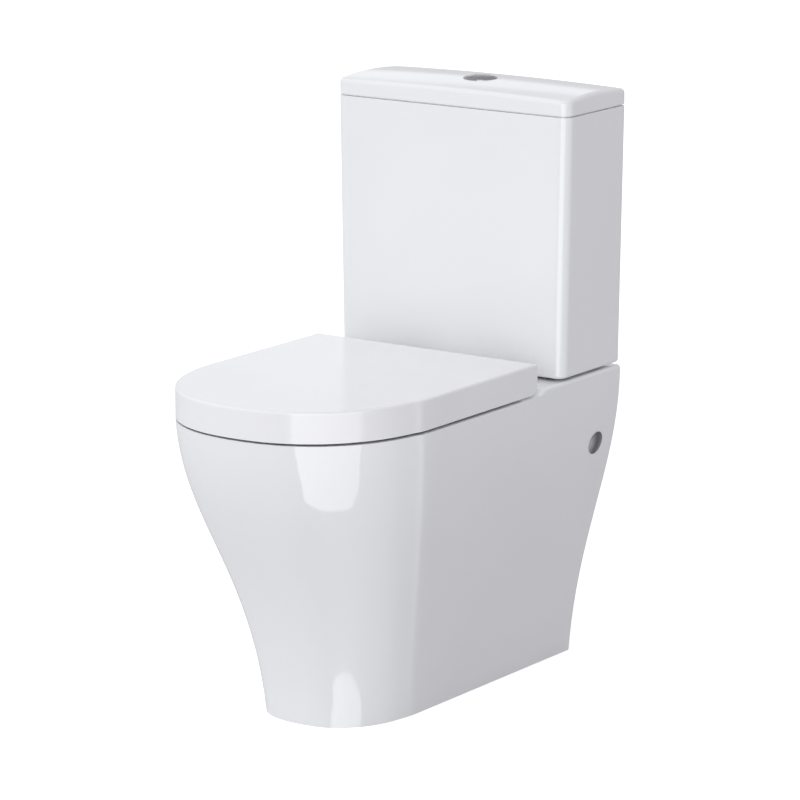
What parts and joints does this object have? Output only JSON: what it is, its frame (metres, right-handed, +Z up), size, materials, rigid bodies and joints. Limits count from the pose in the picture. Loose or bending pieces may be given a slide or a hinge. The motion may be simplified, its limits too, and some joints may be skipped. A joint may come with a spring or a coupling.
{
  "type": "close coupled toilet",
  "caption": "Skirted back-to-wall toilet pan with close coupled cistern, dual flush button, hinged seat ring and wrap-over lid.",
  "frame": {"origin": "on the floor, at the centre of the overall plan box: midway between the wall plane and the front tip, on the plane of symmetry", "axes": "+X right seen from the front, +Y back to the wall, +Z up"},
  "size_m": [0.38, 0.65, 0.8211],
  "materials": {
    "white_glaze": "glossy",
    "seat_plastic": "glossy",
    "valve_plastic": "moulded",
    "coloured_plastic": "moulded",
    "rubber": "matt",
    "chrome": "polished",
    "plated_steel": "satin"
  },
  "bodies": {
    "root": {"pan": "white_glaze", "pan_bowl": "white_glaze", "pan_trapway": "white_glaze", "pan_flush_channel": "white_glaze", "cistern_tank": "white_glaze", "hinge_post_left": "chrome", "hinge_post_right": "chrome", "hinge_pin_left": "plated_steel", "hinge_pin_right": "plated_steel", "hinge_base_covers": "chrome", "seat_fixing_bolts": "plated_steel", "seat_fixing_bushes": "rubber", "seat_fixing_nuts": "valve_plastic", "flush_valve_base": "valve_plastic", "flush_valve_tower": "valve_plastic", "flush_valve_back_nut": "coloured_plastic", "lever_pin": "plated_steel", "fill_valve_body": "valve_plastic", "fill_valve_pin": "plated_steel", "fill_valve_washer": "rubber", "fill_valve_back_nut": "coloured_plastic", "coupling_seal": "rubber", "coupling_plate": "plated_steel", "coupling_bolts": "plated_steel", "coupling_bolt_washers": "rubber", "coupling_nut_washers": "rubber", "coupling_wing_nuts": "plated_steel", "tank_support_pads": "rubber", "fixing_cap_left": "chrome", "fixing_cap_right": "chrome", "clamp_screws": "plated_steel", "wall_bracket_left": "plated_steel", "wall_bracket_right": "plated_steel"},
    "seat_ring": {"seat_ring": "seat_plastic", "seat_ring_buffers": "rubber"},
    "seat_lid": {"seat_lid": "seat_plastic", "seat_lid_buffers": "rubber"},
    "cistern_lid": {"cistern_lid": "white_glaze", "button_collar": "chrome", "button_housing": "valve_plastic", "button_clamp_nut": "coloured_plastic", "full_flush_spring": "plated_steel", "half_flush_spring": "plated_steel"},
    "full_flush": {"full_flush_button": "chrome", "full_flush_rod": "valve_plastic"},
    "half_flush": {"half_flush_button": "chrome", "half_flush_rod": "valve_plastic"},
    "valve": {"overflow_tube": "coloured_plastic", "flush_valve_seal": "rubber"},
    "full_lever": {"full_flush_lever": "coloured_plastic"},
    "half_lever": {"half_flush_lever": "coloured_plastic"},
    "float": {"fill_valve_float": "coloured_plastic", "float_link_rod": "valve_plastic"},
    "fill_lever": {"fill_valve_lever": "valve_plastic"}
  },
  "joints": [
    {"name": "seat_lift", "type": "hinge", "parent": "root", "child": "seat_ring", "pos_m": [0, 0.103, 0.441], "axis": [1, 0, 0], "range_deg": [-96, 0]},
    {"name": "lid_lift", "type": "hinge", "parent": "seat_ring", "child": "seat_lid", "pos_m": [0, 0.103, 0.441], "axis": [-1, 0, 0], "range_deg": [0, 96]},
    {"name": "cistern_lid_lift", "type": "slide", "parent": "root", "child": "cistern_lid", "axis": [0, 0, 1], "range_m": [0, 0.14]},
    {"name": "full_flush_press", "type": "slide", "parent": "cistern_lid", "child": "full_flush", "axis": [0, 0, 1], "range_m": [-0.006, 0], "stiffness_N_per_m": 500, "springref_m": 0.002, "deforming": ["full_flush_spring"]},
    {"name": "half_flush_press", "type": "slide", "parent": "cistern_lid", "child": "half_flush", "axis": [0, 0, 1], "range_m": [-0.006, 0], "stiffness_N_per_m": 500, "springref_m": 0.002, "deforming": ["half_flush_spring"]},
    {"name": "valve_lift", "type": "slide", "parent": "root", "child": "valve", "axis": [0, 0, 1], "range_m": [0, 0.0062]},
    {"name": "full_lever_turn", "type": "hinge", "parent": "root", "child": "full_lever", "pos_m": [0, 0.224, 0.69], "axis": [1, 0, 0], "range_deg": [-15, 0.5]},
    {"name": "half_lever_turn", "type": "hinge", "parent": "root", "child": "half_lever", "pos_m": [0, 0.224, 0.69], "axis": [1, 0, 0], "range_deg": [-15, 0.5]},
    {"name": "float_rise", "type": "slide", "parent": "root", "child": "float", "axis": [0, 0, 1], "range_m": [0, 0.01]},
    {"name": "fill_lever_turn", "type": "hinge", "parent": "root", "child": "fill_lever", "pos_m": [-0.14, 0.263, 0.722], "axis": [-1, 0, 0], "range_deg": [-0.5, 13]}
  ],
  "couplings": [
    {"joint": "valve_lift", "follows": "full_flush_press", "ratio": -1},
    {"joint": "full_lever_turn", "follows": "full_flush_press", "rad_per_m": 38.462},
    {"joint": "half_lever_turn", "follows": "half_flush_press", "rad_per_m": 38.462},
    {"joint": "fill_lever_turn", "follows": "float_rise", "rad_per_m": 20.833}
  ]
}
